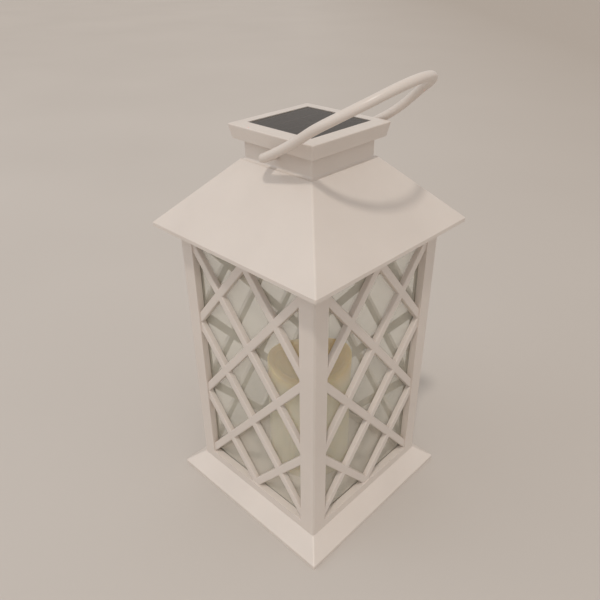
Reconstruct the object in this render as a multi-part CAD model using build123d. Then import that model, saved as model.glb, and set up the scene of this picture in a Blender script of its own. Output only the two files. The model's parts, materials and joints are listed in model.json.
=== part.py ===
"""Solar lantern: a square white plastic lantern with lattice windows, a hip roof,
a solar unit on its neck, a swinging bail and an electric candle inside.

Frame: millimetres, +Z up, origin at the centre of the base's underside.
The windows face -X, +X, -Y and +Y. The bail hinges about Y through the neck.
"""
from build123d import *
from math import atan2, cos, degrees, hypot, sin, tan
import os

# ---------------------------------------------------------------- base
BASE_WIDTH = 140.0
BASE_LIP = 3.2            # upright edge under the sloping skirt
DECK_HEIGHT = 13.0        # top of the skirt, where the walls stand
WALL = 2.4                # wall of the mouldings
CORNER_ROUND = 1.2        # softened corners of the mouldings
COVER_THICK = 2.0
COVER_GAP = 0.2           # cover to skirt, all round
CURB_THICK = 2.0
CURB_HEIGHT = 5.0         # curbs that hold the foot and the head of the panes
LEAD_HOLE_RADIUS = 2.5    # way for the two-core lead
LEAD_HOLE_PLACE = 46.0    # from the axis, in X and in Y, at the rear corner

# ---------------------------------------------------------------- walls
BODY_WIDTH = 116.6
BODY_ROUND = 2.0          # radius of the upright corners
FRAME_THICK = 5.0
POST_WIDTH = 11.6         # frame beside a window
SILL_HEIGHT = 6.8         # frame under a window
HEAD_HEIGHT = 8.2         # frame above a window
MITRE_GAP = 0.02          # between neighbouring side panels
BAR_WIDTH = 5.6
BAR_DEPTH = 3.6
BAR_RECESS = 0.9          # lattice behind the frame's face
BAR_ROUND = 1.0
CELL_WIDTH = 49.8         # diamond of the lattice, corner to corner
CELL_HEIGHT = 59.7
PANE_THICK = 1.2
PANE_GAP = 0.2            # pane to frame and pane to curb
PANE_SIDE_GAP = 0.3       # pane to the next pane

# ---------------------------------------------------------------- roof
EAVE_WIDTH = 139.4
EAVE_HEIGHT = 207.6       # underside of the eave
EAVE_LIP = 2.4
ROOF_TOP_WIDTH = 58.8
ROOF_TOP_HEIGHT = 249.7
NECK_WIDTH = 54.4
NECK_TOP = 262.2
NECK_COVE = 1.8
FLANGE_THICK = 1.6        # inner shelf of the neck, at its two X sides
FLANGE_REACH = 10.8
CEILING_THICK = 2.0
CEILING_LIFT = 0.3        # ceiling above the eave's edge
CEILING_GAP = 1.3         # ceiling to eave, all round

# ---------------------------------------------------------------- solar unit
CAP_FOOT_WIDTH = 64.0
CAP_WIDTH = 67.2
CAP_SIDE_HEIGHT = 8.5
CAP_CROWN = 0.6           # rise of its top face towards the panel
SHELF_THICK = 2.0
PANEL_WIDTH = 50.2
PANEL_GAP = 0.2
PANEL_SUNK = 0.4
TAPE_THICK = 0.6
TAPE_WIDTH = 4.0
SUBSTRATE_THICK = 1.6
CELL_THICK = 0.3
CELL_COUNT = 4
CELL_SPACE = 0.8
CELL_MARGIN = 1.6
GLAZE_THICK = 1.0

# ---------------------------------------------------------------- bail
ROD_RADIUS = 2.6
BAIL_WIDTH = 79.0         # between the centre lines of its limbs
BAIL_CLEARANCE = 0.4      # its shoulders to the neck
BAIL_PIVOT_DROP = 4.2     # pivot under the neck's top
BAIL_ELBOW = 4.7
BAIL_LIMB = 45.0          # limbs below the round end, measured from the pivot
BAIL_BOW = 256.0          # radius to which the limbs are bowed, seen along the hinge
BAIL_TILT = 63.9          # foot of the limbs, from upright towards +X, as it stands
PIN_RADIUS = 2.2
PIN_CLEARANCE = 0.08
PIN_HEAD_RADIUS = 2.9
PIN_HEAD_LENGTH = 2.0

# ---------------------------------------------------------------- candle
CANDLE_RADIUS = 30.3
CANDLE_WALL = 2.0
CANDLE_RIM = 112.0        # blank height before the top is dipped
CANDLE_LOW = 99.2         # lowest part of the rim
DIP_RADIUS = 69.0
DIP_OFFSET = -4.2
DIP_HEADING = -45.0       # direction along which the dip runs
BOWL_SPHERE = 28.0        # radius of the melted bowl
BOWL_FLOOR = 87.4
RIM_ROUND = 0.9
SPIGOT_HEIGHT = 4.0
SPIGOT_GAP = 0.25

# ---------------------------------------------------------------- electrics
BATTERY_PLACE = 14.5      # battery's axis from the lantern's, in Y
AA_RADIUS = 7.2
AA_BODY = 49.3
AA_NUB_RADIUS = 2.7
AA_NUB = 1.2
AA_BOTTOM = 8.0
TUBE_WALL = 2.0
TUBE_GAP = 0.4
TUBE_BOTTOM = 6.0
TUBE_FLANGE = 3.0
HOLDER_FOOT_SIZE = (42.0, 21.0)
HOLDER_FOOT_SHIFT = -11.0  # foot's centre from the battery's axis, in Y
CONTACT_THICK = 0.4
CONTACT_SIZE = (11.0, 7.0)
LEAF_WIDTH = 6.0
LEAF_FOOT = 9.0           # length of the leaf spring's foot
LEAF_CREST = 3.0          # length of its flat crest, under the battery
LEAF_THICK = 0.3
BOARD_SIZE = (26.0, 30.0)
BOARD_SHIFT = -9.0        # board's centre from the battery's axis, in Y
BOARD_THICK = 1.6
LED_RADIUS = 2.5
LED_FLANGE_RADIUS = 2.9
LED_FLANGE = 1.0
LED_BODY = 5.1
LED_LEG = 0.25            # half width
LED_LEG_SPACE = 2.54
POST_HEIGHT = 13.5
POST_RADIUS = 4.5
POST_BORE = 2.4

DOOR_SIZE = (34.0, 21.6)
DOOR_SHIFT = 2.6          # door's centre from the battery's axis, in X
DOOR_THICK = 1.8
DOOR_GAP = 0.2
HATCH_SIZE = (24.0, 17.0)
DOOR_SCREW_EDGE = 0.8     # plastic left beside the door screw's head
HATCH_RIM = 2.2
HATCH_RIM_HEIGHT = 2.0
TONGUE_WIDTH = 8.0
TONGUE_REACH = 4.0
TONGUE_THICK = 1.2

SWITCH_PLACE = (34.0, 0.0)
SWITCH_SIZE = (13.0, 6.4, 5.0)
SWITCH_EAR = 3.5
KNOB_SIZE = (3.0, 2.4)
KNOB_BASE = (4.0, 3.0, 2.2)
KNOB_TRAVEL = 2.5
KNOB_GAP = 0.3
DISH_SIZE = (17.0, 9.0)
DISH_DEPTH = 1.0
KNOB_SUNK = 0.4

# ---------------------------------------------------------------- screws
SHANK_RADIUS = 1.3
SHANK_GAP = 0.05
HEAD_RADIUS = 2.8
HEAD_HEIGHT_PAN = 1.7
HEAD_HEIGHT_SUNK = 1.4
BOSS_RADIUS = 3.8
COVER_SCREW_PLACE = 47.0
CEILING_SCREW_PLACE = 44.0
CAP_SCREW_PLACE = (19.4, 15.0)
CAP_SCREW_LENGTH = 6.0
HOLDER_SCREW_PLACE = 17.0
SCREW_LENGTH = 8.0

# ---------------------------------------------------------------- worked out
base_half = BASE_WIDTH / 2
body_half = BODY_WIDTH / 2
frame_back = body_half - FRAME_THICK
pane_face = frame_back - PANE_GAP
pane_back = pane_face - PANE_THICK
curb_half = pane_back - PANE_GAP
window_half = body_half - POST_WIDTH
deck_under = DECK_HEIGHT - WALL
eave_half = EAVE_WIDTH / 2
roof_start = EAVE_HEIGHT + EAVE_LIP
roof_top_half = ROOF_TOP_WIDTH / 2
neck_half = NECK_WIDTH / 2
neck_inner = neck_half - WALL
ceiling_under = EAVE_HEIGHT + CEILING_LIFT
ceiling_top = ceiling_under + CEILING_THICK
wall_height = ceiling_under - DECK_HEIGHT
window_low = DECK_HEIGHT + SILL_HEIGHT
window_high = ceiling_under - HEAD_HEIGHT
flange_under = NECK_TOP - FLANGE_THICK
cap_half = CAP_WIDTH / 2
cap_edge = NECK_TOP + CAP_SIDE_HEIGHT
cap_top = cap_edge + CAP_CROWN
panel_half = PANEL_WIDTH / 2
glaze_top = cap_top - PANEL_SUNK
glaze_low = glaze_top - GLAZE_THICK
cell_low = glaze_low - CELL_THICK
substrate_low = cell_low - SUBSTRATE_THICK
shelf_top = substrate_low - TAPE_THICK
shelf_low = shelf_top - SHELF_THICK
pivot_height = NECK_TOP - BAIL_PIVOT_DROP
bail_half = BAIL_WIDTH / 2
candle_inner = CANDLE_RADIUS - CANDLE_WALL
tube_bore = AA_RADIUS + TUBE_GAP
tube_outer = tube_bore + TUBE_WALL
battery_top = AA_BOTTOM + AA_BODY + AA_NUB
tube_ceiling = battery_top + CONTACT_THICK
tube_top = tube_ceiling + TUBE_WALL
board_top = tube_top + BOARD_THICK
post_top = board_top + POST_HEIGHT
hatch_top = COVER_THICK + HATCH_RIM_HEIGHT
door_screw_x = DOOR_SHIFT + DOOR_SIZE[0] / 2 - HEAD_RADIUS - DOOR_SCREW_EDGE
holder_foot_y = BATTERY_PLACE + HOLDER_FOOT_SHIFT
board_y = BATTERY_PLACE + BOARD_SHIFT
FOUR_CORNERS = [(1, 1), (-1, 1), (-1, -1), (1, -1)]


# ---------------------------------------------------------------- helpers
def slab(half_x, half_y, low, high, x=0.0, y=0.0):
    """Upright block by its half widths and its two levels."""
    return Pos(x, y, (low + high) / 2) * Box(2 * half_x, 2 * half_y, high - low)


def post(radius, low, high, x=0.0, y=0.0):
    """Upright cylinder."""
    return Pos(x, y, (low + high) / 2) * Cylinder(radius, high - low)


def soft_square(half, level, rounding):
    side = 2 * half
    outline = RectangleRounded(side, side, rounding) if rounding else Rectangle(side, side)
    return Plane.XY.offset(level) * outline


def square_taper(half_low, low, half_high, high, rounding=CORNER_ROUND):
    """Four-sided block that tapers between two levels."""
    return loft([soft_square(half_low, low, rounding), soft_square(half_high, high, rounding)])


def square_block(half, low, high, rounding=CORNER_ROUND):
    return extrude(soft_square(half, low, rounding), high - low)


def square_ring(half, thick, low, high):
    return slab(half, half, low, high) - slab(half - thick, half - thick, low - 1, high + 1)


def pan_screw(x, y, seat, length):
    """Pan-head screw driven upwards, its head bearing on the level seat."""
    head = post(HEAD_RADIUS, seat - HEAD_HEIGHT_PAN, seat, x, y)
    return head + post(SHANK_RADIUS, seat, seat + length, x, y)


def sunk_screw(x, y, face):
    """Countersunk screw with its head flush with the level face, shank along +Z."""
    head = Pos(x, y, face + HEAD_HEIGHT_SUNK / 2) * Cone(HEAD_RADIUS, SHANK_RADIUS, HEAD_HEIGHT_SUNK)
    return head + post(SHANK_RADIUS, face + HEAD_HEIGHT_SUNK, face + SCREW_LENGTH, x, y)


def sunk_hole(x, y, face, high):
    """Countersink and clearance hole for sunk_screw."""
    rim = HEAD_RADIUS + SHANK_GAP
    throat = SHANK_RADIUS + SHANK_GAP
    cone = Pos(x, y, face + HEAD_HEIGHT_SUNK / 2) * Cone(rim, throat, HEAD_HEIGHT_SUNK)
    return cone + post(throat, face + HEAD_HEIGHT_SUNK / 2, high, x, y)


# ---------------------------------------------------------------- base
def base_plinth():
    """Sloping skirt with a deck, curb, screw bosses and the candle's spigot."""
    skirt_run = base_half - body_half
    slope = atan2(DECK_HEIGHT - BASE_LIP, skirt_run)
    inner_low = base_half - WALL - COVER_GAP
    inner_high = base_half - WALL / sin(slope) - (deck_under - BASE_LIP) / tan(slope)
    body = square_block(base_half, 0, BASE_LIP)
    body += square_taper(base_half, BASE_LIP, body_half, DECK_HEIGHT)
    body -= square_block(inner_low, -1, BASE_LIP, 0)
    body -= square_taper(inner_low, BASE_LIP, inner_high, deck_under, 0)
    body += square_ring(curb_half, CURB_THICK, DECK_HEIGHT, DECK_HEIGHT + CURB_HEIGHT)
    spigot = candle_inner - SPIGOT_GAP
    body += post(spigot, DECK_HEIGHT, DECK_HEIGHT + SPIGOT_HEIGHT)
    body -= post(spigot - CURB_THICK, DECK_HEIGHT, DECK_HEIGHT + SPIGOT_HEIGHT + 1)
    for sx, sy in FOUR_CORNERS:
        x, y = sx * COVER_SCREW_PLACE, sy * COVER_SCREW_PLACE
        body += post(BOSS_RADIUS, COVER_THICK, deck_under, x, y)
        body -= post(SHANK_RADIUS + SHANK_GAP, COVER_THICK - 1, SCREW_LENGTH + 1, x, y)
    body -= post(tube_outer + COVER_GAP, deck_under - 1, DECK_HEIGHT + 1, 0, BATTERY_PLACE)
    for side in (-1, 1):
        x, y = side * HOLDER_SCREW_PLACE, holder_foot_y
        body -= post(SHANK_RADIUS + SHANK_GAP, deck_under - 1, DECK_HEIGHT + 1, x, y)
    body -= post(LEAD_HOLE_RADIUS, deck_under - 1, DECK_HEIGHT + 1, -LEAD_HOLE_PLACE, LEAD_HOLE_PLACE)
    return body


def base_cover():
    """Flat bottom plate with the battery hatch, the door screw's boss and the switch slot."""
    half = base_half - WALL - 2 * COVER_GAP
    body = square_block(half, 0, COVER_THICK, 0)
    rim_x = HATCH_SIZE[0] / 2 + HATCH_RIM
    rim_y = HATCH_SIZE[1] / 2 + HATCH_RIM
    y = BATTERY_PLACE
    body += slab(rim_x, rim_y, COVER_THICK, hatch_top, 0, y)
    body += post(BOSS_RADIUS, DOOR_THICK, SCREW_LENGTH + 1, door_screw_x, y)
    seat_x, seat_y = DOOR_SIZE[0] / 2 + DOOR_GAP, DOOR_SIZE[1] / 2 + DOOR_GAP
    body -= slab(seat_x, seat_y, -1, DOOR_THICK, DOOR_SHIFT, y)
    body -= slab(HATCH_SIZE[0] / 2, HATCH_SIZE[1] / 2, -1, SCREW_LENGTH + 2, 0, y)
    body -= post(SHANK_RADIUS + SHANK_GAP, -1, SCREW_LENGTH + 0.5, door_screw_x, y)
    for sx, sy in FOUR_CORNERS:
        body -= sunk_hole(sx * COVER_SCREW_PLACE, sy * COVER_SCREW_PLACE, 0, COVER_THICK + 1)
    x, y = SWITCH_PLACE
    body -= slab(DISH_SIZE[0] / 2, DISH_SIZE[1] / 2, -1, DISH_DEPTH, x, y)
    slot_x = (KNOB_SIZE[0] + KNOB_TRAVEL) / 2 + KNOB_GAP
    body -= slab(slot_x, KNOB_SIZE[1] / 2 + KNOB_GAP, -1, COVER_THICK + 1, x, y)
    return body


def cover_screws():
    return [sunk_screw(sx * COVER_SCREW_PLACE, sy * COVER_SCREW_PLACE, 0) for sx, sy in FOUR_CORNERS]


# ---------------------------------------------------------------- walls
def lattice_bar(direction, shift):
    """One diagonal bar, front at y = 0, running through x = 0 at height shift."""
    angle = direction * degrees(atan2(CELL_HEIGHT, CELL_WIDTH))
    half, depth = BAR_WIDTH / 2, BAR_DEPTH
    length = 2 * hypot(window_half, window_high - window_low)
    profile = make_face(
        Polyline(
            (-half, depth), (-half, BAR_ROUND), (-half + BAR_ROUND * 0.3, BAR_ROUND * 0.3),
            (-half + BAR_ROUND, 0), (half - BAR_ROUND, 0),
            (half - BAR_ROUND * 0.3, BAR_ROUND * 0.3), (half, BAR_ROUND), (half, depth),
            close=True,
        )
    )
    bar = Pos(-length / 2, 0, 0) * extrude(Plane.YZ * Rot(0, 0, -90) * profile, length)
    return Pos(0, 0, shift) * Rot(0, -angle, 0) * bar


def lattice():
    """Crossing bars of one window, front face at y = 0, trimmed to the window."""
    middle = (window_low + window_high) / 2
    reach_z = (window_high - window_low) / 2
    bars = []
    pitch = CELL_HEIGHT
    for direction in (1, -1):
        for k in (-1.5, -0.5, 0.5, 1.5):
            bars.append(lattice_bar(direction, middle + k * pitch))
    grid = bars[0]
    for bar in bars[1:]:
        grid += bar
    root = BAR_ROUND
    trim = slab(window_half + root, BAR_DEPTH * 2, middle - reach_z - root, middle + reach_z + root)
    return grid & trim


def side_panel():
    """Wall that faces -Y: mitred frame with its lattice, all one moulding."""
    tube = square_block(body_half, DECK_HEIGHT, ceiling_under, BODY_ROUND)
    tube -= slab(frame_back, frame_back, DECK_HEIGHT - 1, ceiling_under + 1)
    reach = 2 * body_half
    wedge = Polyline((0, -MITRE_GAP), (reach, -MITRE_GAP - reach), (-reach, -MITRE_GAP - reach), close=True)
    wall = tube & extrude(Plane.XY.offset(DECK_HEIGHT) * make_face(wedge), wall_height)
    middle = -body_half + FRAME_THICK / 2
    wall -= slab(window_half, FRAME_THICK, window_low, window_high, 0, middle)
    wall += Pos(0, -body_half + BAR_RECESS, 0) * lattice()
    return wall


def pane():
    """Clear window behind the wall that faces -Y."""
    half = pane_back - PANE_SIDE_GAP
    low, high = DECK_HEIGHT + PANE_GAP, ceiling_under - PANE_GAP
    return slab(half, PANE_THICK / 2, low, high, 0, -(pane_face + pane_back) / 2)


# ---------------------------------------------------------------- roof
def roof():
    """Hip roof and neck in one moulding, hollow, with the bail's holes."""
    run, rise = eave_half - roof_top_half, ROOF_TOP_HEIGHT - roof_start
    slope = atan2(rise, run)
    solid = square_block(eave_half, EAVE_HEIGHT, roof_start)
    solid += square_taper(eave_half, roof_start, roof_top_half, ROOF_TOP_HEIGHT)
    body = solid + square_block(neck_half, ROOF_TOP_HEIGHT, NECK_TOP)
    cove = body.edges().filter_by(Axis.Z, reverse=True).filter_by_position(
        Axis.Z, ROOF_TOP_HEIGHT - 0.01, ROOF_TOP_HEIGHT + 0.01
    )
    neck_foot = [e for e in cove if max(abs(e.center().X), abs(e.center().Y)) < neck_half + 0.01]
    body = fillet(neck_foot, NECK_COVE)
    inset = WALL / sin(slope)
    hollow_low = roof_start - WALL / 2
    low_half = eave_half - WALL
    start_half = min(low_half, eave_half - inset + (roof_start - hollow_low) / tan(slope))
    hollow_high = roof_start + (eave_half - inset - neck_inner) * tan(slope)
    body -= square_block(low_half, EAVE_HEIGHT - 1, hollow_low, 0)
    body -= square_taper(start_half, hollow_low, neck_inner, hollow_high, 0)
    body -= slab(neck_inner, neck_inner, hollow_high - 1, flange_under)
    body -= slab(neck_inner - FLANGE_REACH, neck_inner, hollow_high - 1, NECK_TOP + 1)
    for sx, sy in FOUR_CORNERS:
        x, y = sx * CEILING_SCREW_PLACE, sy * CEILING_SCREW_PLACE
        body += post(BOSS_RADIUS, ceiling_top, ROOF_TOP_HEIGHT, x, y) & solid
        body -= post(SHANK_RADIUS + SHANK_GAP, ceiling_top - 1, ceiling_under + SCREW_LENGTH + 1, x, y)
        cx, cy = CAP_SCREW_PLACE
        body -= post(SHANK_RADIUS + SHANK_GAP, flange_under - 1, NECK_TOP + 1, sx * cx, sy * cy)
    pivot = Pos(0, 0, pivot_height) * Rot(90, 0, 0) * Cylinder(PIN_RADIUS + PIN_CLEARANCE, 2 * eave_half)
    return body - pivot


def ceiling_plate():
    """Flat soffit under the roof; its curb holds the heads of the panes."""
    half = eave_half - WALL - CEILING_GAP
    body = square_block(half, ceiling_under, ceiling_top, 0)
    body += square_ring(curb_half, CURB_THICK, ceiling_under - CURB_HEIGHT, ceiling_under)
    for sx, sy in FOUR_CORNERS:
        x, y = sx * CEILING_SCREW_PLACE, sy * CEILING_SCREW_PLACE
        body -= post(SHANK_RADIUS + SHANK_GAP, ceiling_under - 1, ceiling_top + 1, x, y)
    body -= post(LEAD_HOLE_RADIUS, ceiling_under - 1, ceiling_top + 1, -LEAD_HOLE_PLACE, LEAD_HOLE_PLACE)
    return body


def ceiling_screws():
    place = CEILING_SCREW_PLACE
    return [pan_screw(sx * place, sy * place, ceiling_under, SCREW_LENGTH) for sx, sy in FOUR_CORNERS]


# ---------------------------------------------------------------- solar unit
def cap_frame():
    """Tray of the solar unit: flared rim, crowned top, shelf and screw bosses."""
    body = square_taper(CAP_FOOT_WIDTH / 2, NECK_TOP, cap_half, cap_edge)
    body += square_taper(cap_half, cap_edge, panel_half + PANEL_GAP, cap_top)
    rim = body.edges().filter_by_position(Axis.Z, cap_edge - 0.01, cap_edge + 0.01)
    body = fillet(rim, CAP_CROWN)
    pocket = panel_half + PANEL_GAP
    body -= slab(pocket, pocket, shelf_top, cap_top + 1)
    body -= slab(neck_inner - PANEL_GAP, neck_inner - PANEL_GAP, NECK_TOP - 1, shelf_low)
    cx, cy = CAP_SCREW_PLACE
    for sx, sy in FOUR_CORNERS:
        boss = post(BOSS_RADIUS, NECK_TOP, shelf_low, sx * cx, sy * cy)
        body += boss
        body -= post(SHANK_RADIUS + SHANK_GAP, NECK_TOP - 1, shelf_top, sx * cx, sy * cy)
    return body - post(LEAD_HOLE_RADIUS, shelf_low - 1, shelf_top + 1)


def cap_screws():
    cx, cy = CAP_SCREW_PLACE
    return [pan_screw(sx * cx, sy * cy, flange_under, CAP_SCREW_LENGTH) for sx, sy in FOUR_CORNERS]


def panel_tape():
    return square_ring(panel_half, TAPE_WIDTH, shelf_top, substrate_low)


def solar_substrate():
    return slab(panel_half, panel_half, substrate_low, cell_low)


def solar_cells():
    """Strips of silicon side by side under the glaze."""
    span = PANEL_WIDTH - 2 * CELL_MARGIN
    width = (span - (CELL_COUNT - 1) * CELL_SPACE) / CELL_COUNT
    first = -span / 2 + width / 2
    places = [first + k * (width + CELL_SPACE) for k in range(CELL_COUNT)]
    return [slab(width / 2, span / 2, cell_low, glaze_low, x) for x in places]


def solar_glaze():
    return slab(panel_half, panel_half, glaze_low, glaze_top)


# ---------------------------------------------------------------- bail
def bail_upright():
    """Bail bent from one round rod: pivot on the X axis, loop towards +Y, bowed towards -Z."""
    shoulder = neck_half + BAIL_CLEARANCE
    bend = bail_half - BAIL_ELBOW
    lean = (BAIL_LIMB - BAIL_ELBOW) / BAIL_BOW
    limb = []
    for turn in (0, lean / 2, lean):
        limb.append(Vector(bail_half, BAIL_ELBOW + BAIL_BOW * sin(turn), BAIL_BOW * (cos(turn) - 1)))
    right = Line((shoulder, 0), (bend, 0))
    right += CenterArc((bend, BAIL_ELBOW), BAIL_ELBOW, -90, 90)
    right += ThreePointArc(*limb)
    tip = Vector(0, limb[2].Y + bail_half * cos(lean), limb[2].Z - bail_half * sin(lean))
    end = ThreePointArc(limb[2], tip, Vector(-bail_half, limb[2].Y, limb[2].Z))
    left = mirror(right, Plane.YZ)
    path = Wire(right.edges() + end.edges() + left.edges())
    start = Plane(origin=(shoulder, 0, 0), z_dir=(1, 0, 0))
    rod = sweep(start * Circle(ROD_RADIUS), path)
    for side in (-1, 1):
        inside = neck_inner - BAIL_CLEARANCE
        pin_length = shoulder - inside
        rod += Pos(side * (shoulder + inside) / 2, 0, 0) * Rot(0, 90, 0) * Cylinder(PIN_RADIUS, pin_length)
        head = Rot(0, side * 90, 0) * Cone(PIN_RADIUS * 0.8, PIN_HEAD_RADIUS, PIN_HEAD_LENGTH)
        rod += Pos(side * (inside - PIN_HEAD_LENGTH / 2), 0, 0) * head
    return Plane.YZ * rod


def bail():
    return Pos(0, 0, pivot_height) * Rot(0, BAIL_TILT, 0) * bail_upright()


# ---------------------------------------------------------------- candle
def candle_shell():
    """Hollow pillar candle with a dipped rim and a melted bowl."""
    shell = post(CANDLE_RADIUS, DECK_HEIGHT, CANDLE_RIM)
    dip = Rot(0, 0, DIP_HEADING) * Pos(0, DIP_OFFSET, CANDLE_LOW + DIP_RADIUS)
    shell -= dip * Rot(0, 90, 0) * Cylinder(DIP_RADIUS, 3 * CANDLE_RADIUS)
    bowl = Pos(0, 0, BOWL_FLOOR + BOWL_SPHERE)
    shell -= bowl * Sphere(BOWL_SPHERE)
    rim = shell.edges().filter_by_position(Axis.Z, (BOWL_FLOOR + CANDLE_LOW) / 2, CANDLE_RIM)
    shell = fillet(rim, RIM_ROUND)
    cavity_top = CANDLE_LOW - 2 * CANDLE_WALL
    cavity = post(candle_inner, DECK_HEIGHT - 1, cavity_top)
    return shell - (cavity - bowl * Sphere(BOWL_SPHERE + CANDLE_WALL))


def battery():
    body = post(AA_RADIUS, AA_BOTTOM, AA_BOTTOM + AA_BODY, 0, BATTERY_PLACE)
    return body + post(AA_NUB_RADIUS, AA_BOTTOM + AA_BODY, battery_top, 0, BATTERY_PLACE)


def battery_holder():
    """Upright tube for the battery, with a foot on the deck and a table for the board."""
    body = post(tube_outer, TUBE_BOTTOM, tube_top, 0, BATTERY_PLACE)
    half_x, half_y = HOLDER_FOOT_SIZE[0] / 2, HOLDER_FOOT_SIZE[1] / 2
    body += slab(half_x, half_y, DECK_HEIGHT, DECK_HEIGHT + TUBE_FLANGE, 0, holder_foot_y)
    body += slab(BOARD_SIZE[0] / 2, BOARD_SIZE[1] / 2, tube_top - TUBE_WALL, tube_top, 0, board_y)
    for side in (-1, 1):
        tip = deck_under + SCREW_LENGTH + 1
        x = side * HOLDER_SCREW_PLACE
        body += post(BOSS_RADIUS, DECK_HEIGHT, tip + 1, x, holder_foot_y)
        body -= post(SHANK_RADIUS + SHANK_GAP, DECK_HEIGHT - 1, tip, x, holder_foot_y)
    return body - post(tube_bore, TUBE_BOTTOM - 1, tube_ceiling, 0, BATTERY_PLACE)


def holder_screws():
    places = [side * HOLDER_SCREW_PLACE for side in (-1, 1)]
    return [pan_screw(x, holder_foot_y, deck_under, SCREW_LENGTH) for x in places]


def contact(low):
    """Sheet-metal contact on the battery's axis."""
    return slab(CONTACT_SIZE[0] / 2, CONTACT_SIZE[1] / 2, low, low + CONTACT_THICK, 0, BATTERY_PLACE)


def contact_spring():
    """Leaf spring between the door's contact and the battery, bent from one strip."""
    low, high = DOOR_THICK + CONTACT_THICK, AA_BOTTOM - LEAF_THICK
    foot, crest = LEAF_FOOT / 2, LEAF_CREST / 2
    slant = LEAF_THICK / sin(atan2(high - low, foot - crest))
    outline = Polyline(
        (-foot, low), (foot, low), (foot, low + LEAF_THICK), (crest, AA_BOTTOM),
        (-crest, AA_BOTTOM), (-crest, high), (crest - slant, high),
        (foot - slant, low + LEAF_THICK), (-foot, low + LEAF_THICK), close=True,
    )
    return Pos(0, BATTERY_PLACE, 0) * extrude(Plane.XZ * make_face(outline), LEAF_WIDTH / 2, both=True)


def battery_door():
    """Hatch door: tongue under the rim at -X, screw at +X."""
    y = BATTERY_PLACE
    body = slab(DOOR_SIZE[0] / 2, DOOR_SIZE[1] / 2, 0, DOOR_THICK, DOOR_SHIFT, y)
    body -= sunk_hole(door_screw_x, y, 0, DOOR_THICK + 1)
    stem_half = TONGUE_THICK / 2
    stem_x = -HATCH_SIZE[0] / 2 + DOOR_GAP + stem_half
    low = hatch_top + DOOR_GAP
    high = low + TONGUE_THICK
    body += slab(stem_half, TONGUE_WIDTH / 2, DOOR_THICK, high, stem_x, y)
    reach = TONGUE_REACH / 2
    return body + slab(reach, TONGUE_WIDTH / 2, low, high, stem_x + stem_half - reach, y)


def control_board():
    return slab(BOARD_SIZE[0] / 2, BOARD_SIZE[1] / 2, tube_top, board_top, 0, board_y)


def board_parts():
    """Driver chip, coil and capacitor on the board, beside the post."""
    edge = BOARD_SIZE[0] / 2
    chip = slab(2.0, 2.5, board_top, board_top + 1.5, edge - 3.5, 4.0)
    coil = post(2.2, board_top, board_top + 4.0, edge - 3.5, -4.5)
    capacitor = post(2.5, board_top, board_top + 7.0, -edge + 4.0, 0)
    return [chip, coil, capacitor]


def led_post():
    return post(POST_RADIUS, board_top, post_top) - post(POST_BORE, board_top - 1, post_top + 1)


def led():
    body = post(LED_FLANGE_RADIUS, post_top, post_top + LED_FLANGE)
    shoulder = post_top + LED_FLANGE + LED_BODY
    body += post(LED_RADIUS, post_top, shoulder)
    body += Pos(0, 0, shoulder) * Sphere(LED_RADIUS)
    for side in (-1, 1):
        body += slab(LED_LEG, LED_LEG, board_top, post_top + LED_FLANGE, side * LED_LEG_SPACE / 2)
    return body


def switch_body():
    x, y = SWITCH_PLACE
    long, wide, tall = SWITCH_SIZE
    body = slab(long / 2, wide / 2, COVER_THICK, COVER_THICK + tall, x, y)
    body += slab(long / 2 + SWITCH_EAR, wide / 2, COVER_THICK, COVER_THICK + CONTACT_THICK, x, y)
    room_x = (KNOB_BASE[0] + KNOB_TRAVEL) / 2 + KNOB_GAP
    room_high = COVER_THICK + KNOB_BASE[2] + 2 * KNOB_GAP
    return body - slab(room_x, KNOB_BASE[1] / 2 + KNOB_GAP, COVER_THICK - 1, room_high, x, y)


def switch_knob():
    """Knob at the -X end of its slot, where the lantern is off."""
    x, y = SWITCH_PLACE[0] - KNOB_TRAVEL / 2, SWITCH_PLACE[1]
    low = COVER_THICK + KNOB_GAP
    body = slab(KNOB_BASE[0] / 2, KNOB_BASE[1] / 2, low, low + KNOB_BASE[2], x, y)
    return body + slab(KNOB_SIZE[0] / 2, KNOB_SIZE[1] / 2, KNOB_SUNK, low, x, y)


# ---------------------------------------------------------------- nodes
def nodes():
    yield "base_plinth", base_plinth()
    yield "base_cover", base_cover()
    yield "cover_screws", cover_screws()
    wall, clear = side_panel(), pane()
    for name, turn in (("front", 0), ("right", 90), ("rear", 180), ("left", 270)):
        yield f"side_panel_{name}", Rot(0, 0, turn) * wall
        yield f"pane_{name}", Rot(0, 0, turn) * clear
    yield "roof", roof()
    yield "ceiling_plate", ceiling_plate()
    yield "ceiling_screws", ceiling_screws()
    yield "cap_frame", cap_frame()
    yield "cap_screws", cap_screws()
    yield "panel_tape", panel_tape()
    yield "solar_substrate", solar_substrate()
    yield "solar_cells", solar_cells()
    yield "solar_glaze", solar_glaze()
    yield "bail", bail()
    yield "candle_shell", candle_shell()
    yield "battery_holder", battery_holder()
    yield "holder_screws", holder_screws()
    yield "battery", battery()
    yield "contact_plate", contact(battery_top)
    yield "contact_spring", contact_spring()
    yield "door_contact", contact(DOOR_THICK)
    yield "battery_door", battery_door()
    yield "door_screw", sunk_screw(door_screw_x, BATTERY_PLACE, 0)
    yield "control_board", control_board()
    yield "board_parts", board_parts()
    yield "led_post", led_post()
    yield "led", led()
    yield "switch_body", switch_body()
    yield "switch_knob", switch_knob()


os.makedirs("parts", exist_ok=True)
for name, shape in nodes():
    if isinstance(shape, list):
        shape = Compound(children=shape)
    export_step(shape, f"parts/{name}.step")
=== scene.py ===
"""Looks of the solar lantern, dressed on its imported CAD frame. Metres, +Z up."""
import json
from math import cos, pi, radians, sin

import bmesh
import bpy
from mathutils import Matrix, Vector, noise

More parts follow.
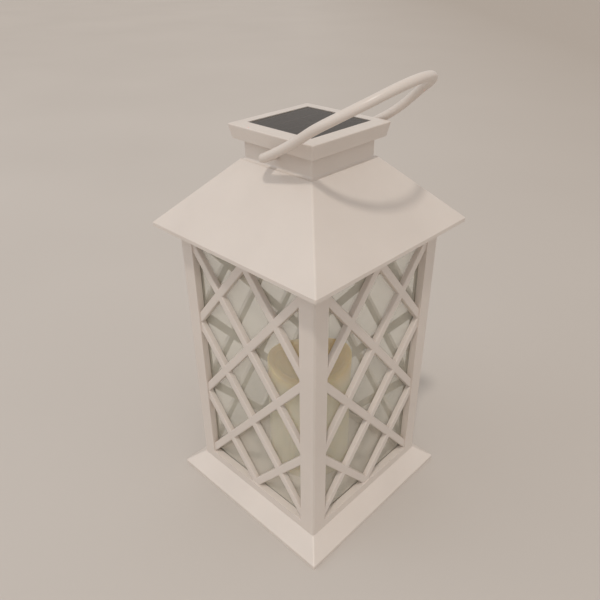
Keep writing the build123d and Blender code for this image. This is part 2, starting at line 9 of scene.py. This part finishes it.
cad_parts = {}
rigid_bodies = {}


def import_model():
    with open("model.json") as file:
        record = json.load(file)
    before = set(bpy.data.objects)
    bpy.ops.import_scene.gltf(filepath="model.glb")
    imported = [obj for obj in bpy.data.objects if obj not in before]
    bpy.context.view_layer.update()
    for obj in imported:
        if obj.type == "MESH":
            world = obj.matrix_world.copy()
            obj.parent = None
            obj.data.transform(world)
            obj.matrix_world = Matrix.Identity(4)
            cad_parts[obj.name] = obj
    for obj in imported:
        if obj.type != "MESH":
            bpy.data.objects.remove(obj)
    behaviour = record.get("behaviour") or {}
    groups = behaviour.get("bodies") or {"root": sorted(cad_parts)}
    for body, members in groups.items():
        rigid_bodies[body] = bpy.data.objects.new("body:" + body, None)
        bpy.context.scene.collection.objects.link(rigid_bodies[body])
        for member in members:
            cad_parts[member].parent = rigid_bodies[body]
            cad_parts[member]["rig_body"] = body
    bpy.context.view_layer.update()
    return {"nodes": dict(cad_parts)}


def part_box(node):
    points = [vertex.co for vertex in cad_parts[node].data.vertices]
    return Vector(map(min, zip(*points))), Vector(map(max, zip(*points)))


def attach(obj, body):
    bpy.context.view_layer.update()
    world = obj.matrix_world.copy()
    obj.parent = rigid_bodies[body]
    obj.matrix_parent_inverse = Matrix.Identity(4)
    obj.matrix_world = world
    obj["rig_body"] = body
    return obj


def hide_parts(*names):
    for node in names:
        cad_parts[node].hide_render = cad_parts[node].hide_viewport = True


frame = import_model()
nodes = frame["nodes"]
MM = 0.001
SIDES = ("front", "right", "rear", "left")

# ---------------------------------------------------------------- camera
CAMERA_PLACE = Vector((0.2372, -0.2524, 0.3601))
CAMERA_TARGET = Vector((-0.0046, -0.0045, 0.1512))
CAMERA_ROLL = radians(-0.54)
CAMERA_FIELD = radians(53.44)


def place(name, data):
    obj = bpy.data.objects.new(name, data)
    bpy.context.scene.collection.objects.link(obj)
    return obj


def make_camera():
    data = bpy.data.cameras.new("camera")
    data.sensor_width = 36.0
    data.angle = CAMERA_FIELD
    data.clip_start = 0.01
    cam = place("camera", data)
    look = (CAMERA_TARGET - CAMERA_PLACE).to_track_quat("-Z", "Y")
    cam.rotation_euler = (look.to_matrix() @ Matrix.Rotation(CAMERA_ROLL, 3, "Z")).to_euler()
    cam.location = CAMERA_PLACE
    bpy.context.scene.camera = cam


make_camera()


# ---------------------------------------------------------------- materials
def new_material(name):
    mat = bpy.data.materials.new(name)
    mat.use_nodes = True
    tree = mat.node_tree
    return mat, tree, tree.nodes["Principled BSDF"]


MOULD_GRAIN = 0.04 * MM      # depth of the mould's grain
FILM_RIPPLE = 1.2 * MM       # depth of the ripples in the clear sheets
WAX_LUMPS = 0.4 * MM         # depth of the lumps in the wax
WAX_AMBER = (0.096, 0.112)   # heights between which the wax turns amber
WAX_WANDER = 0.012           # how far that border wanders
WAX_BOWL = (0.0290, 0.0262)  # radii between which the melted bowl begins


def link(tree, a, b):
    tree.links.new(a, b)


def srgb(r, g, b):
    """Colour written as 0-255 screen values, as the linear tuple that shaders take."""
    def linear(c):
        c /= 255.0
        return c / 12.92 if c <= 0.04045 else ((c + 0.055) / 1.055) ** 2.4
    return (linear(r), linear(g), linear(b), 1.0)


def noise_node(tree, scale, detail, rough, coords):
    node = tree.nodes.new("ShaderNodeTexNoise")
    node.inputs["Scale"].default_value = scale
    node.inputs["Detail"].default_value = detail
    node.inputs["Roughness"].default_value = rough
    link(tree, coords, node.inputs["Vector"])
    return node


def object_coords(tree):
    return tree.nodes.new("ShaderNodeTexCoord").outputs["Object"]


def ramp(tree, source, stops):
    """Colour that runs from the first of two stops to the second."""
    node = tree.nodes.new("ShaderNodeValToRGB")
    for element, (at, colour) in zip(node.color_ramp.elements, stops):
        element.position = at
        element.color = colour
    link(tree, source, node.inputs["Fac"])
    return node


def spread(tree, source, span, result=(0.0, 1.0)):
    """Map the source from one span of values to another, held at both ends."""
    node = tree.nodes.new("ShaderNodeMapRange")
    node.inputs["From Min"].default_value = span[0]
    node.inputs["From Max"].default_value = span[1]
    node.inputs["To Min"].default_value = result[0]
    node.inputs["To Max"].default_value = result[1]
    link(tree, source, node.inputs["Value"])
    return node.outputs["Result"]


def mixed(tree, factor, first):
    """Colour mix from first; its second colour is left to the caller."""
    node = tree.nodes.new("ShaderNodeMix")
    node.data_type = "RGBA"
    link(tree, factor, node.inputs["Factor"])
    link(tree, first, node.inputs[6])
    return node


def bump(tree, height, strength, distance, shader):
    node = tree.nodes.new("ShaderNodeBump")
    node.inputs["Strength"].default_value = strength
    node.inputs["Distance"].default_value = distance
    link(tree, height, node.inputs["Height"])
    link(tree, node.outputs["Normal"], shader.inputs["Normal"])


def moulded_plastic(name, light, dark, rough=(0.34, 0.46)):
    """Satin moulded plastic: faint cloudy tone, flow texture and a fine mould grain."""
    mat, tree, bsdf = new_material(name)
    coords = object_coords(tree)
    cloud = noise_node(tree, 14.0, 4.0, 0.55, coords)
    tone = ramp(tree, cloud.outputs["Fac"], [(0.32, dark), (0.68, light)])
    link(tree, tone.outputs["Color"], bsdf.inputs["Base Color"])
    gloss = noise_node(tree, 60.0, 3.0, 0.6, coords)
    link(tree, spread(tree, gloss.outputs["Fac"], (0.3, 0.7), rough), bsdf.inputs["Roughness"])
    fine = noise_node(tree, 900.0, 2.0, 0.5, coords)
    bump(tree, fine.outputs["Fac"], 0.35, MOULD_GRAIN, bsdf)
    bsdf.inputs["Subsurface Weight"].default_value = 0.06
    bsdf.inputs["Subsurface Scale"].default_value = 0.004
    bsdf.inputs["Subsurface Radius"].default_value = (1.0, 0.8, 0.7)
    bsdf.inputs["IOR"].default_value = 1.46
    return mat


WHITE = srgb(216, 206, 197)
WHITE_DEEP = srgb(209, 199, 190)
plastic_wall = moulded_plastic("white_wall_plastic", WHITE, WHITE_DEEP)
plastic_roof = moulded_plastic("white_roof_plastic", WHITE, WHITE_DEEP)
plastic_cap = moulded_plastic("white_cap_plastic", WHITE, WHITE_DEEP, (0.30, 0.42))
plastic_bail = moulded_plastic("white_bail_plastic", srgb(218, 208, 199), srgb(211, 201, 192),
                               (0.28, 0.40))
plastic_under = moulded_plastic("white_cover_plastic", srgb(214, 206, 197), srgb(205, 196, 187),
                                (0.42, 0.55))


def clear_film(name):
    """Thin clear sheet: mostly open, with a faint grey-green haze and a gloss."""
    mat, tree, bsdf = new_material(name)
    coords = object_coords(tree)
    haze = noise_node(tree, 26.0, 3.0, 0.5, coords)
    tone = ramp(tree, haze.outputs["Fac"], [
        (0.35, srgb(230, 227, 213)), (0.65, srgb(239, 236, 222))])
    link(tree, tone.outputs["Color"], bsdf.inputs["Base Color"])
    bsdf.inputs["Roughness"].default_value = 0.08
    bsdf.inputs["IOR"].default_value = 1.5
    bsdf.inputs["Alpha"].default_value = 0.20
    ripple = noise_node(tree, 22.0, 2.0, 0.45, coords)
    bump(tree, ripple.outputs["Fac"], 0.5, FILM_RIPPLE, bsdf)
    mat.surface_render_method = "BLENDED"
    return mat


film = clear_film("clear_sheet_film")


def wax_material():
    """Ivory wax that turns amber in its melted bowl and along its rim."""
    mat, tree, bsdf = new_material("candle_wax")
    coords = object_coords(tree)
    split = tree.nodes.new("ShaderNodeSeparateXYZ")
    link(tree, coords, split.inputs["Vector"])
    flat = tree.nodes.new("ShaderNodeCombineXYZ")
    link(tree, split.outputs["X"], flat.inputs["X"])
    link(tree, split.outputs["Y"], flat.inputs["Y"])
    radius = tree.nodes.new("ShaderNodeVectorMath")
    radius.operation = "LENGTH"
    link(tree, flat.outputs["Vector"], radius.inputs[0])
    wander = noise_node(tree, 45.0, 3.0, 0.5, coords)
    height = tree.nodes.new("ShaderNodeMath")
    height.operation = "MULTIPLY_ADD"
    link(tree, wander.outputs["Fac"], height.inputs[0])
    height.inputs[1].default_value = WAX_WANDER
    link(tree, split.outputs["Z"], height.inputs[2])
    lift = spread(tree, height.outputs["Value"], WAX_AMBER)
    shell = ramp(tree, lift, [(0.0, srgb(228, 215, 186)), (1.0, srgb(230, 196, 112))])
    inner = ramp(tree, wander.outputs["Fac"], [
        (0.35, srgb(214, 176, 92)), (0.65, srgb(228, 196, 118))])
    mix = mixed(tree, spread(tree, radius.outputs["Value"], WAX_BOWL), shell.outputs["Color"])
    link(tree, inner.outputs["Color"], mix.inputs[7])
    link(tree, mix.outputs[2], bsdf.inputs["Base Color"])
    bsdf.inputs["Roughness"].default_value = 0.42
    bsdf.inputs["Subsurface Weight"].default_value = 0.35
    bsdf.inputs["Subsurface Scale"].default_value = 0.006
    bsdf.inputs["Subsurface Radius"].default_value = (1.0, 0.65, 0.35)
    lumps = noise_node(tree, 120.0, 3.0, 0.5, coords)
    bump(tree, lumps.outputs["Fac"], 0.3, WAX_LUMPS, bsdf)
    return mat


wax = wax_material()


def speckled(name, dark, light, scale, rough, metallic=0.0, height=0.03 * MM, alpha=1.0,
             stretch=(1, 1, 1)):
    """Two close tones broken by noise, with a matching fine bump."""
    mat, tree, bsdf = new_material(name)
    mapping = tree.nodes.new("ShaderNodeMapping")
    mapping.inputs["Scale"].default_value = stretch
    link(tree, object_coords(tree), mapping.inputs["Vector"])
    grain = noise_node(tree, scale, 4.0, 0.6, mapping.outputs["Vector"])
    tone = ramp(tree, grain.outputs["Fac"], [(0.3, dark), (0.7, light)])
    link(tree, tone.outputs["Color"], bsdf.inputs["Base Color"])
    bsdf.inputs["Roughness"].default_value = rough
    bsdf.inputs["Metallic"].default_value = metallic
    bsdf.inputs["Alpha"].default_value = alpha
    bump(tree, grain.outputs["Fac"], 0.4, height, bsdf)
    if alpha < 1.0:
        mat.surface_render_method = "BLENDED"
    return mat


steel = speckled("zinc_steel", srgb(150, 150, 150), srgb(188, 187, 184), 700, 0.3, 1.0)
spring_metal = speckled("nickel_contact", srgb(176, 174, 168), srgb(206, 204, 198), 500, 0.22, 1.0)
foam = speckled("foam_tape", srgb(40, 40, 40), srgb(62, 61, 60), 1800, 0.9, height=0.2 * MM)
silicon = speckled("silicon_strip", srgb(46, 42, 40), srgb(60, 55, 51), 320, 0.35,
                   stretch=(1, 0.15, 1))
backing = speckled("panel_backing", srgb(86, 79, 72), srgb(94, 87, 79), 400, 0.5)
glaze = speckled("panel_glaze", srgb(60, 51, 42), srgb(66, 56, 46), 30, 0.2, alpha=0.68,
                 height=0.1 * MM)
glaze.node_tree.nodes["Principled BSDF"].inputs["Specular IOR Level"].default_value = 0.3
jacket = speckled("cell_jacket", srgb(38, 62, 96), srgb(48, 74, 110), 60, 0.3)
circuit = speckled("circuit_board", srgb(20, 92, 48), srgb(30, 108, 60), 260, 0.4)
chips = speckled("chip_black", srgb(24, 24, 26), srgb(38, 38, 40), 500, 0.5)
lens = speckled("led_epoxy", srgb(226, 206, 150), srgb(236, 220, 172), 90, 0.1, alpha=0.7)
black = speckled("switch_black", srgb(28, 28, 28), srgb(44, 43, 43), 900, 0.45, height=0.08 * MM)


# ---------------------------------------------------------------- pieces
SOFT_WALL = 0.35 * MM   # rounding of the lattice panels' edges
SOFT_SHELL = 0.3 * MM   # of the plinth, the roof and the cap
SOFT_COVER = 0.25 * MM  # of the flat covers
NEAR = 0.2 * MM         # how close an edge lies to a plane to belong to it
SAME = 1e-6             # vertices closer than this are one
FLAT = radians(0.4)     # faces that meet at less than this are one


def paint(obj, mat):
    obj.data.materials.clear()
    obj.data.materials.append(mat)


def smooth(mesh, sharp):
    """Shade smooth, but for the edges that turn by more than sharp degrees."""
    for face in mesh.polygons:
        face.use_smooth = True
    mesh.set_sharp_from_angle(angle=radians(sharp))


def welded(name, flatten=True):
    """The node's mesh as one skin, with its flat faces whole."""
    bm = bmesh.new()
    bm.from_mesh(nodes[name].data)
    bmesh.ops.remove_doubles(bm, verts=bm.verts, dist=SAME)
    if flatten:
        bmesh.ops.dissolve_limit(bm, angle_limit=FLAT, verts=bm.verts, edges=bm.edges)
    return bm


def dressed(name, mat, width, limit, keep=None):
    """Copy of a CAD node, in its place, with the edges sharper than limit rounded by width."""
    bm = welded(name)
    sharp = []
    for edge in bm.edges:
        if len(edge.link_faces) != 2:
            continue
        angle = edge.calc_face_angle(0.0)
        if angle < radians(limit):
            continue
        if keep is not None and not keep(edge):
            continue
        sharp.append(edge)
    bmesh.ops.bevel(bm, geom=sharp, offset=width, offset_type="OFFSET", segments=2,
                    profile=0.5, affect="EDGES", clamp_overlap=True)
    mesh = bpy.data.meshes.new(name + "_soft")
    bm.to_mesh(mesh)
    bm.free()
    piece = place(name + "_soft", mesh)
    mesh.materials.append(mat)
    smooth(mesh, 50)
    weighted = piece.modifiers.new("weighted", "WEIGHTED_NORMAL")
    weighted.keep_sharp = True
    weighted.weight = 90
    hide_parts(name)
    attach(piece, nodes[name]["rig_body"])


body_low, body_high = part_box("side_panel_front")
frame_back = -body_high.y


def on_mitre(edge):
    a, b = (v.co for v in edge.verts)
    return all(abs(abs(p.x) - abs(p.y)) < 2 * NEAR for p in (a, b))


def on_end(edge, low, high):
    return all(min(abs(v.co.z - low), abs(v.co.z - high)) < NEAR for v in edge.verts)


def on_back(edge):
    return all(max(abs(v.co.x), abs(v.co.y)) < frame_back + NEAR for v in edge.verts)


def wall_edge(edge):
    return not (on_mitre(edge) or on_end(edge, body_low.z, body_high.z) or on_back(edge))


for side in SIDES:
    dressed("side_panel_" + side, plastic_wall, SOFT_WALL, 28, wall_edge)
dressed("base_plinth", plastic_wall, SOFT_SHELL, 30)
dressed("roof", plastic_roof, SOFT_SHELL, 30)
dressed("cap_frame", plastic_cap, SOFT_SHELL, 30)
dressed("base_cover", plastic_under, SOFT_COVER, 40)
dressed("battery_door", plastic_under, SOFT_COVER, 40)
dressed("ceiling_plate", plastic_wall, SOFT_COVER, 40)

for name, mat in (
    ("candle_shell", wax), ("battery_holder", plastic_under),
    ("led_post", plastic_under), ("battery", jacket), ("contact_plate", spring_metal),
    ("contact_spring", spring_metal), ("door_contact", spring_metal),
    ("ceiling_screws", steel), ("cap_screws", steel), ("holder_screws", steel),
    ("panel_tape", foam), ("solar_substrate", backing),
    ("solar_cells", silicon), ("solar_glaze", glaze), ("control_board", circuit),
    ("board_parts", chips), ("led", lens), ("switch_body", black), ("switch_knob", black),
):
    paint(nodes[name], mat)


def islands(bm):
    """Lists of the vertices that hang together, in the mesh's own order."""
    seen, groups = set(), []
    for first in bm.verts:
        if first in seen:
            continue
        seen.add(first)
        group, todo = [], [first]
        while todo:
            vert = todo.pop()
            group.append(vert)
            for edge in vert.link_edges:
                other = edge.other_vert(vert)
                if other not in seen:
                    seen.add(other)
                    todo.append(other)
        groups.append(group)
    return groups


CROSS_DEPTH = 1.0 * MM
CROSS_CLEAR = 0.4 * MM   # how far the cutter stands out of the head
CROSS_ARM = 0.66         # of the head's radius
CROSS_HALF = 0.15        # half the slot's width, of the head's radius
CROSS_MOUTH = 1.1        # size of the cross there, and at its floor
CROSS_FLOOR = 0.72
HEAD_FACE = 0.1 * MM     # how deep the head's face may lie


def crossed_screws(name):
    """The screws of a node, heads down, with a tapering cross recess in each head."""
    bm = welded(name, flatten=False)
    cut = bmesh.new()
    for group in islands(bm):
        low = min(v.co.z for v in group)
        rim = [v.co for v in group if v.co.z < low + HEAD_FACE]
        middle = sum(rim, Vector()) / len(rim)
        radius = max((p - middle).length for p in rim)
        arm, half = CROSS_ARM * radius, CROSS_HALF * radius
        plus = [(arm, -half), (arm, half), (half, half), (half, arm), (-half, arm), (-half, half),
                (-arm, half), (-arm, -half), (-half, -half), (-half, -arm), (half, -arm),
                (half, -half)]
        rings = []
        for z, size in ((low - CROSS_CLEAR, CROSS_MOUTH), (low + CROSS_DEPTH, CROSS_FLOOR)):
            rings.append([cut.verts.new((middle.x + size * x, middle.y + size * y, z))
                          for x, y in plus])
        cut.faces.new(rings[0][::-1])
        cut.faces.new(rings[1])
        for k in range(len(plus)):
            cut.faces.new([rings[0][k - 1], rings[0][k], rings[1][k], rings[1][k - 1]])
    made = []
    for title, work in (("_crossed", bm), ("_cutter", cut)):
        mesh = bpy.data.meshes.new(name + title)
        work.to_mesh(mesh)
        work.free()
        made.append(place(name + title, mesh))
    piece, cutter = made
    cross = piece.modifiers.new("cross", "BOOLEAN")
    cross.operation = "DIFFERENCE"
    cross.solver = "EXACT"
    cross.object = cutter
    graph = bpy.context.evaluated_depsgraph_get()
    final = bpy.data.meshes.new_from_object(piece.evaluated_get(graph))
    piece.modifiers.clear()
    piece.data = final
    bpy.data.objects.remove(cutter)
    smooth(final, 25)
    paint(piece, steel)
    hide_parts(name)
    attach(piece, "lantern")


crossed_screws("cover_screws")
crossed_screws("door_screw")


# the bail's lengths, in millimetres but for its pivot
BAIL_LEAN = radians(63.9)
BAIL_PIVOT = Vector((0, 0, 258.0 * MM))
BAIL_ALONG = Vector((sin(BAIL_LEAN), 0, cos(BAIL_LEAN)))
BAIL_UP = Vector((-BAIL_ALONG.z, 0, BAIL_ALONG.x))
BAIL_HALF = 39.5
BAIL_CUTS = range(10, 84, 2)   # distances from the pivot at which the rod may bend
BAIL_TIP = (50, 30, 0.3)       # from here, over this much, the loop is drawn in by this
# distance from the pivot, rise of a limb at the full half width, common rise
BAIL_SET = ((0, 0, 0), (18, 0, 0), (30, 0, 0), (42, 0.3, 0.3), (50, 1.0, 0.5), (60, 1.8, 0.4),
            (75, 2.2, -0.2), (86, 2.3, 0.0), (98, 2.3, 0.0))


def bail_rise(at):
    """Smooth curve through BAIL_SET at one distance from the pivot."""
    for k in range(1, len(BAIL_SET) - 2):
        before, low, high, after = BAIL_SET[k - 1:k + 3]
        if at <= high[0]:
            break
    span = high[0] - low[0]
    u = min(max((at - low[0]) / span, 0.0), 1.0)
    out = []
    for c in (1, 2):
        m0 = span * (high[c] - before[c]) / (high[0] - before[0])
        m1 = span * (after[c] - low[c]) / (after[0] - low[0])
        out.append((2 * u ** 3 - 3 * u ** 2 + 1) * low[c] + (u ** 3 - 2 * u ** 2 + u) * m0
                   + (3 * u ** 2 - 2 * u ** 3) * high[c] + (u ** 3 - u ** 2) * m1)
    return out


def racked_bail():
    """The bail as its springy rod really sits: a little twisted, one limb above the other."""
    bm = welded("bail")
    for step in BAIL_CUTS:
        bmesh.ops.bisect_plane(bm, geom=bm.verts[:] + bm.edges[:] + bm.faces[:], dist=0.1 * SAME,
                               plane_co=BAIL_PIVOT + BAIL_ALONG * step * MM, plane_no=BAIL_ALONG)
    tip_from, tip_over, tip_pull = BAIL_TIP
    for vert in bm.verts:
        at = (vert.co - BAIL_PIVOT).dot(BAIL_ALONG) / MM
        twist, common = bail_rise(at)
        vert.co += BAIL_UP * (common * MM + twist * vert.co.y / BAIL_HALF)
        vert.co -= BAIL_ALONG * tip_pull * MM * min(max((at - tip_from) / tip_over, 0.0), 1.0)
    mesh = bpy.data.meshes.new("bail_racked")
    bm.to_mesh(mesh)
    bm.free()
    smooth(mesh, 45)
    mesh.materials.append(plastic_bail)
    piece = place("bail_racked", mesh)
    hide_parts("bail")
    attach(piece, "bail")


racked_bail()


PANE_COLUMNS = 40
PANE_ROWS = 76
PANE_WAVE = 0.14 * MM     # height of a pane's waves
PANE_NOISE = (38, 16)     # how fast they change across and up the pane
PANE_SHIFT = 1.7          # how far they differ from pane to pane


def wavy_pane(side, turn):
    """Thin clear sheet with the slow waves of a sheet held only by its edges."""
    low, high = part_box("pane_front")
    half, thick = high.x, high.y - low.y
    middle = (low.y + high.y) / 2
    columns, rows, depth = PANE_COLUMNS, PANE_ROWS, PANE_WAVE
    bm = bmesh.new()
    layers = []
    for face in (-1, 1):
        grid = []
        for j in range(rows + 1):
            line = []
            for i in range(columns + 1):
                u, v = i / columns, j / rows
                x = -half + 2 * half * u
                z = low.z + (high.z - low.z) * v
                hold = min(1.0, 6 * min(u, 1 - u)) * min(1.0, 8 * min(v, 1 - v))
                spot = Vector((x * PANE_NOISE[0], turn * PANE_SHIFT, z * PANE_NOISE[1]))
                wave = noise.noise(spot) * hold * depth
                line.append(bm.verts.new((x, middle + face * (thick / 2 - depth) + wave, z)))
            grid.append(line)
        layers.append(grid)
    for grid, flip in ((layers[0], False), (layers[1], True)):
        for j in range(rows):
            for i in range(columns):
                quad = [grid[j][i], grid[j][i + 1], grid[j + 1][i + 1], grid[j + 1][i]]
                bm.faces.new(quad[::-1] if flip else quad)
    front, back = layers
    ring = ([(0, i) for i in range(columns)] + [(j, columns) for j in range(rows)]
            + [(rows, i) for i in range(columns, 0, -1)] + [(j, 0) for j in range(rows, 0, -1)])
    for (j0, i0), (j1, i1) in zip(ring, ring[1:] + ring[:1]):
        bm.faces.new([front[j1][i1], front[j0][i0], back[j0][i0], back[j1][i1]])
    bm.transform(Matrix.Rotation(turn * pi / 2, 4, "Z"))
    mesh = bpy.data.meshes.new("film_" + side)
    bm.to_mesh(mesh)
    bm.free()
    smooth(mesh, 40)
    mesh.materials.append(film)
    piece = place("film_" + side, mesh)
    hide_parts("pane_" + side)
    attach(piece, "lantern")


for turn, side in enumerate(SIDES):
    wavy_pane(side, turn)


# ---------------------------------------------------------------- stage
FLOOR_RADIUS = 9.0
FLOOR_PAINTED_SHADE = (0.05, 1.1)   # distance to the right over which the floor's painted shade deepens, standing in for the light falling off there
SKY = ((1.0, 0.962, 0.932, 1.0), 0.65)
# name, kind, power, angle of the sun or side of the panel, colour, place, travel
LAMPS = (
    ("key", "SUN", 0.92, radians(4.5), (1.0, 0.947, 0.89), (0.45, -0.72, 1.9),
     (-0.252, 0.403, -1.0)),
    ("fill", "AREA", 4.9, 1.4, (0.77, 0.88, 1.0), (-1.0, -1.4, 1.1), (1.0, 1.4, -0.95)),
    ("bounce", "AREA", 2.6, 1.4, (0.95, 0.96, 1.0), (1.5, -1.0, 0.5), (-1.5, 1.0, -0.35)),
)


def make_floor():
    mat, tree, bsdf = new_material("pale_floor")
    coords = object_coords(tree)
    tone = ramp(tree, noise_node(tree, 3.0, 2.0, 0.4, coords).outputs["Fac"],
                [(0.3, srgb(194, 187, 180)), (0.7, srgb(197, 190, 183))])
    across = tree.nodes.new("ShaderNodeVectorMath")
    across.operation = "DOT_PRODUCT"
    across.inputs[1].default_value = (0.707, 0.707, 0.0)
    link(tree, coords, across.inputs[0])
    # painted shade: the floor's colour darkens towards the far right, standing in for the lamps'
    # light falling off there
    mix = mixed(tree, spread(tree, across.outputs["Value"], FLOOR_PAINTED_SHADE), tone.outputs["Color"])
    mix.inputs[7].default_value = srgb(180, 171, 162)
    link(tree, mix.outputs[2], bsdf.inputs["Base Color"])
    bsdf.inputs["Roughness"].default_value = 0.9
    bsdf.inputs["Specular IOR Level"].default_value = 0.1
    bm = bmesh.new()
    bmesh.ops.create_circle(bm, cap_ends=True, segments=96, radius=FLOOR_RADIUS)
    mesh = bpy.data.meshes.new("floor")
    bm.to_mesh(mesh)
    bm.free()
    mesh.materials.append(mat)
    floor = place("floor", mesh)


def make_lights():
    world = bpy.data.worlds.new("studio")
    world.use_nodes = True
    background = world.node_tree.nodes["Background"]
    background.inputs["Color"].default_value, background.inputs["Strength"].default_value = SKY
    bpy.context.scene.world = world
    for name, kind, power, spread_by, colour, spot, travel in LAMPS:
        data = bpy.data.lights.new(name, kind)
        data.energy = power
        data.color = colour
        if kind == "SUN":
            data.angle = spread_by
        else:
            data.size = spread_by
        lamp = place(name, data)
        lamp.location = spot
        lamp.rotation_euler = Vector(travel).to_track_quat("-Z", "Y").to_euler()


make_floor()
make_lights()

settings = bpy.context.scene.view_settings
settings.view_transform = "Standard"
